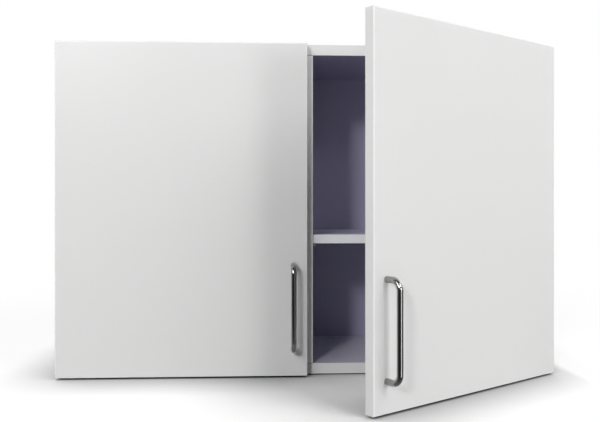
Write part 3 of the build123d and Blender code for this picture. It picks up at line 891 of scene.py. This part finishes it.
@dataclass(frozen=True)
class Screw:
    """A pan-head screw with a cross recess and a rolled thread.

    The cross, crown and rim are shares of the head's radius and height, the cross's wall and taper shares of its arm
    and reach, and the tip shares of the shank's radius.
    """

    head_r: float
    head_t: float
    shank_r: float
    shank_l: float
    dome: float = 0.35
    thread: float = 0.10
    pitch: float = 0.0012
    around: int = 40
    rows_to_pitch: int = 6
    neck: float = 0.0002
    cross_arm: float = 0.13
    cross_wall: float = 0.4
    cross_reach: float = 0.58
    cross_taper: float = 0.5
    cross_depth: float = 0.7
    crown: tuple[float, ...] = (*np.linspace(0.04, 0.66, 14).tolist(), 0.75, 0.84, 0.92)
    rim: tuple[Pair, ...] = ((0.975, 0.97), (1.0, 0.8), (1.0, 0.12), (0.985, 0.0))
    tip: tuple[Pair, ...] = ((0.7, 0.6), (0.3, 0.1))

    def _recess(self, x: Grid, y: Grid) -> Grid:
        """Works out the depth of the cross: full in its arms, with a narrow wall, and tapering towards their ends.

        Args:
            x: sideways places on the head.
            y: upward places on the head.

        Returns:
            The depth at each.
        """
        arm, reach = self.cross_arm * self.head_r, self.cross_reach * self.head_r
        narrow, wide = np.minimum(abs(x), abs(y)), np.maximum(abs(x), abs(y))
        wall = np.clip((arm - narrow) / (self.cross_wall * arm) + 0.5, 0.0, 1.0)
        taper = np.clip((reach - wide) / (self.cross_taper * reach), 0.0, 1.0)
        return self.cross_depth * self.head_t * wall * taper

    def add_to(self, surface: Surface, seat: Seat) -> None:
        """Adds the screw as one turned surface from the middle of its head to its point.

        The head's top is a shallow dome, one less the square of the radius, with the cross pressed into it. Below it
        come the rounded rim, the flat under the head, and a shank whose radius swings with the height and the angle,
        so that the ridge winds down it.

        Args:
            surface: the shells that it joins.
            seat: where it sits.
        """
        turn = once_round(self.around)
        crown_r = self.head_r * np.array(self.crown)[:, None]
        top = rings_of(crown_r, self.head_t * (1.0 - self.dome * np.array(self.crown) ** 2), turn)
        top[..., 2] -= self._recess(top[..., 0], top[..., 1])
        rim = np.array(self.rim) * [self.head_r, self.head_t * (1.0 - self.dome)]
        under = np.concatenate([rim, [[self.shank_r, 0.0]]])
        rows = max(8, int(self.rows_to_pitch * self.shank_l / self.pitch))
        drop = np.linspace(self.neck, self.shank_l - self.shank_r, rows)
        ridge = 1.0 - self.thread * (0.5 - 0.5 * np.cos(2.0 * math.pi * drop[:, None] / self.pitch - turn))
        tip = np.array(self.tip) * self.shank_r - [0.0, self.shank_l]
        rings = np.concatenate([
            top,
            rings_of(under[:, :1], under[:, 1], turn),
            rings_of(self.shank_r * ridge, -drop, turn),
            rings_of(tip[:, :1], tip[:, 1], turn),
        ])
        first = seat.pole(self.head_t * (1.0 - self.cross_depth))
        surface.add_tube(seat.lay(rings), first, seat.pole(-self.shank_l))


@dataclass(frozen=True)
class Bumper:
    """A soft stick-on pad, domed like a lens above a short upright foot. The foot's pairs are shares of its size."""

    pad_r: float = 0.0035
    pad_t: float = 0.0019
    around: int = 32
    dome_steps: int = 12
    dome_end: float = 0.47 * math.pi
    foot: tuple[Pair, ...] = ((0.97, 0.0), (1.0, 0.05))
    dome_base: float = 0.2

    def add_to(self, surface: Surface, seat: Seat) -> None:
        """Adds the pad: above its foot, its radius is the root of one less the square of the rise.

        Args:
            surface: the shells that it joins.
            seat: where it sits.
        """
        turn = once_round(self.around)
        rise = np.sin(np.linspace(0.0, self.dome_end, self.dome_steps))
        dome = np.stack([np.sqrt(1.0 - rise**2), self.dome_base + (1.0 - self.dome_base) * rise], axis=-1)
        profile = np.concatenate([np.array(self.foot), dome]) * [self.pad_r, self.pad_t]
        rings = rings_of(profile[:, :1], profile[:, 1], turn)
        surface.add_tube(seat.lay(rings), seat.pole(0.0), seat.pole(self.pad_t))


# ---- carcass, shelves and fittings
@dataclass
class Carcass:
    """Everything fixed to the box, dressed by node name. Places are those of the right side."""

    nodes: Nodes
    plate_screw: Screw = Screw(0.0048, 0.0014, 0.0025, 0.014)
    plate_place: Pair = (0.4285, -0.103)
    plate_steps: Pair = (-0.016, 0.016)
    arm_screw: Screw = Screw(0.0036, 0.0016, 0.0024, 0.0142, pitch=0.0008)
    arm_face: float = 0.414
    arm_rows: Pair = (-0.106, -0.090)
    adjuster: Screw = Screw(0.0040, 0.0030, 0.0025, 0.0217, pitch=0.0008)
    adjuster_place: Pair = (0.422, 0.067)
    adjuster_heights: Pair = (0.558, 0.525)
    shared: ClassVar[dict[str, Finish]] = {
        "bottom_panel": Finish.BOTTOM,
        "top_panel": Finish.CARCASS,
        "centre_divider": Finish.CARCASS,
        "back_panel": Finish.BACK,
        "carcass_edge_bands": Finish.EDGING,
        "cam_housings": Finish.ZINC,
        "cam_bolts": Finish.SCREW,
        "wood_dowels": Finish.BEECH,
    }
    sided: ClassVar[dict[str, Finish]] = {
        "side_panel": Finish.CARCASS,
        "shelf": Finish.SHELF,
        "shelf_edge_band": Finish.SHELF_EDGE,
        "shelf_pins": Finish.NICKEL,
        "hanger_housing": Finish.PLASTIC,
        "hanger_hook": Finish.SCREW,
        "hanger_screws": Finish.SCREW,
        "hinge_plates": Finish.ZINC,
        "plate_screws": Finish.SCREW,
        "hinge_arms": Finish.NICKEL,
        "arm_screws": Finish.SCREW,
        "arm_pins": Finish.SCREW,
        "outer_links": Finish.NICKEL,
        "inner_links": Finish.NICKEL,
    }

    def dress(self, palette: Palette) -> None:
        """Dresses every fixed node and the links.

        Args:
            palette: gives the materials.
        """
        for name, finish in self.shared.items():
            palette.dress(self.nodes[name], finish)
        for side in Side:
            for name, finish in self.sided.items():
                palette.dress(self.nodes[f"{side.word}_{name}"], finish)
        LOG.info("carcass dressed: %d nodes", len(self.shared) + 2 * len(self.sided))

    def fit_screws(self, palette: Palette) -> None:
        """Builds the screws of the plates, arms and hangers, and puts them in the place of the plain ones.

        Args:
            palette: gives the material.
        """
        rows = {
            "plate_screws": (self.plate_screw, [
                Seat((*self.plate_place, height + step), INWARD)
                for height in HINGE_HEIGHTS for step in self.plate_steps
            ]),
            "arm_screws": (self.arm_screw, [
                Seat((self.arm_face, y, height), INWARD) for height in HINGE_HEIGHTS for y in self.arm_rows
            ]),
            "hanger_screws": (self.adjuster, [
                Seat((*self.adjuster_place, height), FORWARD) for height in self.adjuster_heights
            ]),
        }
        for side in Side:
            for node, (screw, seats) in rows.items():
                surface = Surface()
                for seat in seats:
                    screw.add_to(surface, seat)
                if side is Side.LEFT:
                    surface.mirror()
                fit(surface, f"{side.word}_{node}", "carcass", palette, Finish.SCREW)


@dataclass
class Door:
    """One door with its handle, cups and pads. Places are those of the closed right door."""

    side: Side
    nodes: Nodes
    handle: BowHandle = BowHandle()
    handle_screw: Screw = Screw(0.0042, 0.0026, 0.002, 0.029, pitch=0.0007)
    handle_place: Pair = (0.027, -0.142)
    handle_heights: Pair = (0.05, 0.2)
    cup_screw: Screw = Screw(0.0036, 0.0015, 0.0019, 0.012)
    cup_place: Pair = (0.417, -0.1408)
    cup_steps: Pair = (-0.0225, 0.0225)
    bumper: Bumper = Bumper()
    bumper_place: Pair = (0.0065, -0.142)
    bumper_heights: Pair = (0.027, 0.573)
    swings: ClassVar[dict[Side, DoorSwing]] = {Side.LEFT: DoorSwing(0.0), Side.RIGHT: DoorSwing(34.0)}
    finishes: ClassVar[dict[str, Finish]] = {
        "door_panel": Finish.DOOR,
        "door_edge_band": Finish.DOOR_EDGE,
        "handle": Finish.STEEL,
        "handle_screws": Finish.SCREW,
        "door_bumpers": Finish.PAD,
        "hinge_cups": Finish.ZINC,
        "cup_screws": Finish.SCREW,
        "cup_pins": Finish.SCREW,
    }

    def dress(self, palette: Palette) -> None:
        """Dresses every node of the door.

        Args:
            palette: gives the materials.
        """
        for name, finish in self.finishes.items():
            palette.dress(self.nodes[f"{self.side.word}_{name}"], finish)
        LOG.info("%s door dressed", self.side.word)

    def fit_hardware(self, palette: Palette) -> None:
        """Builds the bow handle, the screws and the pads, and puts them in the place of the plain ones.

        Args:
            palette: gives the materials.
        """
        bow = Surface()
        self.handle.add_to(bow)
        self._fit(bow, "handle", palette)
        cup_heights = [height + step for height in HINGE_HEIGHTS for step in self.cup_steps]
        rows = {
            "handle_screws": (self.handle_screw, self.handle_place, self.handle_heights),
            "cup_screws": (self.cup_screw, self.cup_place, cup_heights),
            "door_bumpers": (self.bumper, self.bumper_place, self.bumper_heights),
        }
        for name, (maker, place, heights) in rows.items():
            surface = Surface()
            for height in heights:
                maker.add_to(surface, Seat((*place, height), BACKWARD))
            self._fit(surface, name, palette)

    def _fit(self, surface: Surface, name: str, palette: Palette) -> None:
        """Swings shells made for the closed right door to this door, mirrored for the left one, and fits them.

        Args:
            surface: the shells.
            name: the node that they stand for, without its side.
            palette: gives the material.
        """
        surface.points = [self.swings[self.side].carry(points) for points in surface.points]
        if self.side is Side.LEFT:
            surface.mirror()
        fit(surface, f"{self.side.word}_{name}", f"{self.side.word}_door", palette, self.finishes[name])


def fit(surface: Surface, node: str, body: str, palette: Palette, finish: Finish) -> None:
    """Makes a finished piece of a surface, puts it in the place of a CAD node and logs how far their boxes differ.

    Args:
        surface: the piece's shells, in their stored pose.
        node: the CAD node that it stands for.
        body: the body that it rides on.
        palette: gives the material.
        finish: the piece's finish.
    """
    wanted = np.array(plain_box(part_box(node)))
    piece = surface.make(f"fine_{node}")
    palette.dress(piece, finish)
    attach(piece, body)
    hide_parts(node)
    points = np.concatenate(surface.points)
    gap = np.abs(np.stack([points.min(axis=0), points.max(axis=0)]) - wanted).max()
    LOG.info("%s fitted: %d faces, box within %.2f mm", piece.name, len(surface.faces), 1000.0 * gap)


# ---- surroundings
@dataclass(frozen=True)
class Lamp:
    """A soft lamp that faces the cabinet: square, or taller than it is wide where a height is given."""

    name: str
    place: Triple
    size: float
    power: float
    target: Triple = (0.0, -0.1, 0.3)
    height: float = 0.0
    in_gloss: bool = True

    def hang(self) -> None:
        """Adds the lamp to the scene, turned from its place towards its target."""
        data = bpy.data.lights.new(self.name, "AREA")
        data.size = self.size
        if self.height:
            data.shape = "RECTANGLE"
            data.size_y = self.height
        data.energy = self.power
        lamp = put(self.name, data)
        start, end = np.array(self.place), np.array(self.target)
        aim = (end - start) / np.linalg.norm(end - start)
        lamp.location = self.place
        lamp.visible_glossy = self.in_gloss
        lamp.rotation_euler = (math.acos(-aim[2]), 0.0, math.atan2(aim[1], aim[0]) - math.pi / 2)


@dataclass(frozen=True)
class Floor:
    """The white floor: a flat square just under the cabinet.

    Far away the camera sees it white. Nearer, and most of all round shade_middle between the doors, it glows less and
    shows the lamps' light and shadows. A soft contact shade darkens it near the cabinet, but not past clear_span at
    the right. Soft light meets a plain grey. In gloss it is a dim glow behind open_span and open in front.
    """

    reach: float = 6.0
    drop: float = 0.0022
    bounce_colour: Colour = (0.60, 0.60, 0.60)
    bounce_roughness: float = 0.9
    fade_span: Pair = (0.55, 1.6)
    own_light: float = 0.84
    lit_share: float = 0.26
    shade_middle: Triple = (0.10, -0.16, 0.0)
    shade_span: Pair = (0.17, 0.38)
    shade_own: float = 0.12
    shade_lit: float = 0.95
    contact_reach: float = 0.12
    contact_samples: int = 16
    clear_span: Pair = (0.43, 0.50)
    clear_share: float = 0.95
    open_span: Pair = (-0.55, -0.35)
    gloss_glow: float = 0.2

    def lay(self) -> None:
        """Makes the floor."""
        corners = [(x * self.reach, y * self.reach, -self.drop) for x, y in ((-1, -1), (1, -1), (1, 1), (-1, 1))]
        mesh = bpy.data.meshes.new("floor")
        mesh.from_pydata(corners, [], [(0, 1, 2, 3)])
        shade = Shading("white_floor")
        grey = (*self.bounce_colour, 1.0)
        shade.fill(shade.bsdf, Base_Color=grey, Roughness=self.bounce_roughness, Specular_IOR_Level=0.0)
        surface = shade.by_ray(shade.bsdf.outputs[0], self._mirrored(shade), self._seen(shade))
        shade.fill(shade.output, Surface=surface)
        mesh.materials.append(shade.material)
        put("floor", mesh)

    def _seen(self, shade: Shading) -> Socket:
        """Builds what the camera sees: a diffuse share that takes the lamps' light, plus a glow of its own.

        Args:
            shade: the floor's material.

        Returns:
            The shader.
        """
        between = shade.ramp(self._distance(shade, self.shade_middle), self.shade_span, 1.0, 0.0)
        away = self._distance(shade, (0.0, 0.0, 0.0))
        glow = shade.mix(between, shade.ramp(away, self.fade_span, self.own_light, 1.0), self.shade_own)
        lit = shade.mix(between, shade.ramp(away, self.fade_span, self.lit_share, 0.0), self.shade_lit)
        contact = shade.add("ShaderNodeAmbientOcclusion", samples=self.contact_samples)
        shade.fill(contact, Distance=self.contact_reach)
        clear = shade.ramp(shade.split(shade.place())[0], self.clear_span, 0.0, self.clear_share)
        openness = shade.maths("MAXIMUM", contact.outputs["AO"], clear)
        diffuse = shade.add("ShaderNodeBsdfDiffuse")
        shade.fill(diffuse, Color=shade.maths("MULTIPLY", lit, openness))
        emission = shade.add("ShaderNodeEmission")
        shade.fill(emission, Strength=shade.maths("MULTIPLY", glow, openness))
        both = shade.add("ShaderNodeAddShader")
        shade.link(diffuse.outputs[0], both.inputs[0])
        shade.link(emission.outputs[0], both.inputs[1])
        return both.outputs[0]

    @staticmethod
    def _distance(shade: Shading, middle: Triple) -> Socket:
        """Measures how far each point of the floor is from a place.

        Args:
            shade: the floor's material.
            middle: the place.

        Returns:
            The distance.
        """
        node = shade.add("ShaderNodeVectorMath", operation="DISTANCE")
        for slot, value in zip(node.inputs, (shade.place(), middle)):
            shade.feed(slot, value)
        return node.outputs["Value"]

    def _mirrored(self, shade: Shading) -> Socket:
        """Builds what gloss sees: a dim glow behind open_span, and nothing in front of it.

        Args:
            shade: the floor's material.

        Returns:
            The shader.
        """
        pale = shade.add("ShaderNodeEmission")
        shade.fill(pale, Strength=self.gloss_glow)
        nothing = shade.add("ShaderNodeBsdfTransparent")
        front = shade.ramp(shade.split(shade.place())[1], self.open_span, 1.0, 0.0)
        return shade.mix_shaders(front, pale.outputs[0], nothing.outputs[0])


@dataclass
class Studio:
    """The floor, soft lamps, white world and camera. Not part of the cabinet."""

    floor: Floor = Floor()
    soft_colour: Colour = (0.95, 0.97, 1.0)
    soft_strength: float = 0.02
    gloss_span: Pair = (-0.35, 0.25)
    gloss_front: float = 0.02
    camera_place: Triple = (-0.0712, -1.4056, 0.3150)
    camera_turn: float = -0.0452
    lens: float = 41.68
    shift_y: float = -0.0167
    lamps: tuple[Lamp, ...] = (
        Lamp("key", (-2.0, -4.7, 2.35), 0.7, 82.0),
        Lamp("key_high_left", (-3.04, -3.3, 2.7), 2.4, 64.0),
        Lamp("fill_low_right", (3.0, -1.6, 0.6), 2.0, 17.0, in_gloss=False),
        Lamp("fill_front_right", (1.75, -2.9, 0.8), 0.45, 11.0),
        Lamp("fill_high_right", (2.0, -2.0, 2.4), 1.5, 38.0),
        Lamp("strip", (1.6, -2.5, 0.1), 0.45, 10.0, (0.1, -0.45, 0.1), 2.4),
        Lamp("rear_left", (-1.8, 0.9, 1.6), 0.9, 8.0),
        Lamp("rear_right", (1.8, 0.9, 1.6), 0.9, 10.0),
    )

    def build(self) -> None:
        """Makes everything in the studio."""
        self.floor.lay()
        self._world()
        for lamp in self.lamps:
            lamp.hang()
        self._camera()
        bpy.context.scene.view_settings.view_transform = "Standard"
        LOG.info("studio ready with %d lamps", len(self.lamps))

    def _world(self) -> None:
        """Makes the world: white to the camera, in gloss white behind and dark in front, and faint soft light."""
        world = bpy.data.worlds.new("studio")
        world.use_nodes = True
        sky = NodeWork(world.node_tree)
        sky.tree.nodes.clear()
        light, mirrored, seen = (sky.add("ShaderNodeBackground") for _ in range(3))
        heading = sky.split(sky.add("ShaderNodeTexCoord").outputs["Generated"])[1]
        sky.fill(light, Color=(*self.soft_colour, 1.0), Strength=self.soft_strength)
        sky.fill(mirrored, Strength=sky.ramp(heading, self.gloss_span, self.gloss_front, 1.0))
        sky.fill(seen, Color=(1.0, 1.0, 1.0, 1.0))
        surface = sky.by_ray(light.outputs[0], mirrored.outputs[0], seen.outputs[0])
        sky.fill(sky.add("ShaderNodeOutputWorld"), Surface=surface)
        bpy.context.scene.world = world

    def _camera(self) -> None:
        """Places the camera level, a little left of the middle."""
        data = bpy.data.cameras.new("camera")
        data.lens = self.lens
        data.shift_y = self.shift_y
        camera = put("camera", data)
        camera.location = self.camera_place
        camera.rotation_euler = (math.pi / 2, 0.0, self.camera_turn)
        bpy.context.scene.camera = camera


def plain_box(box: tuple) -> list[list[float]]:
    """Turns a box of two corners into plain lists of numbers."""
    return [[float(value) for value in corner] for corner in box]


def main() -> None:
    """Builds and dresses everything in order."""
    logging.basicConfig(level=logging.INFO, format="%(name)s: %(message)s")
    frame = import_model()
    palette = Palette()
    carcass = Carcass(frame["nodes"])
    carcass.dress(palette)
    carcass.fit_screws(palette)
    for side in Side:
        door = Door(side, frame["nodes"])
        door.dress(palette)
        door.fit_hardware(palette)
    Studio().build()


if __name__ == "__main__":
    main()
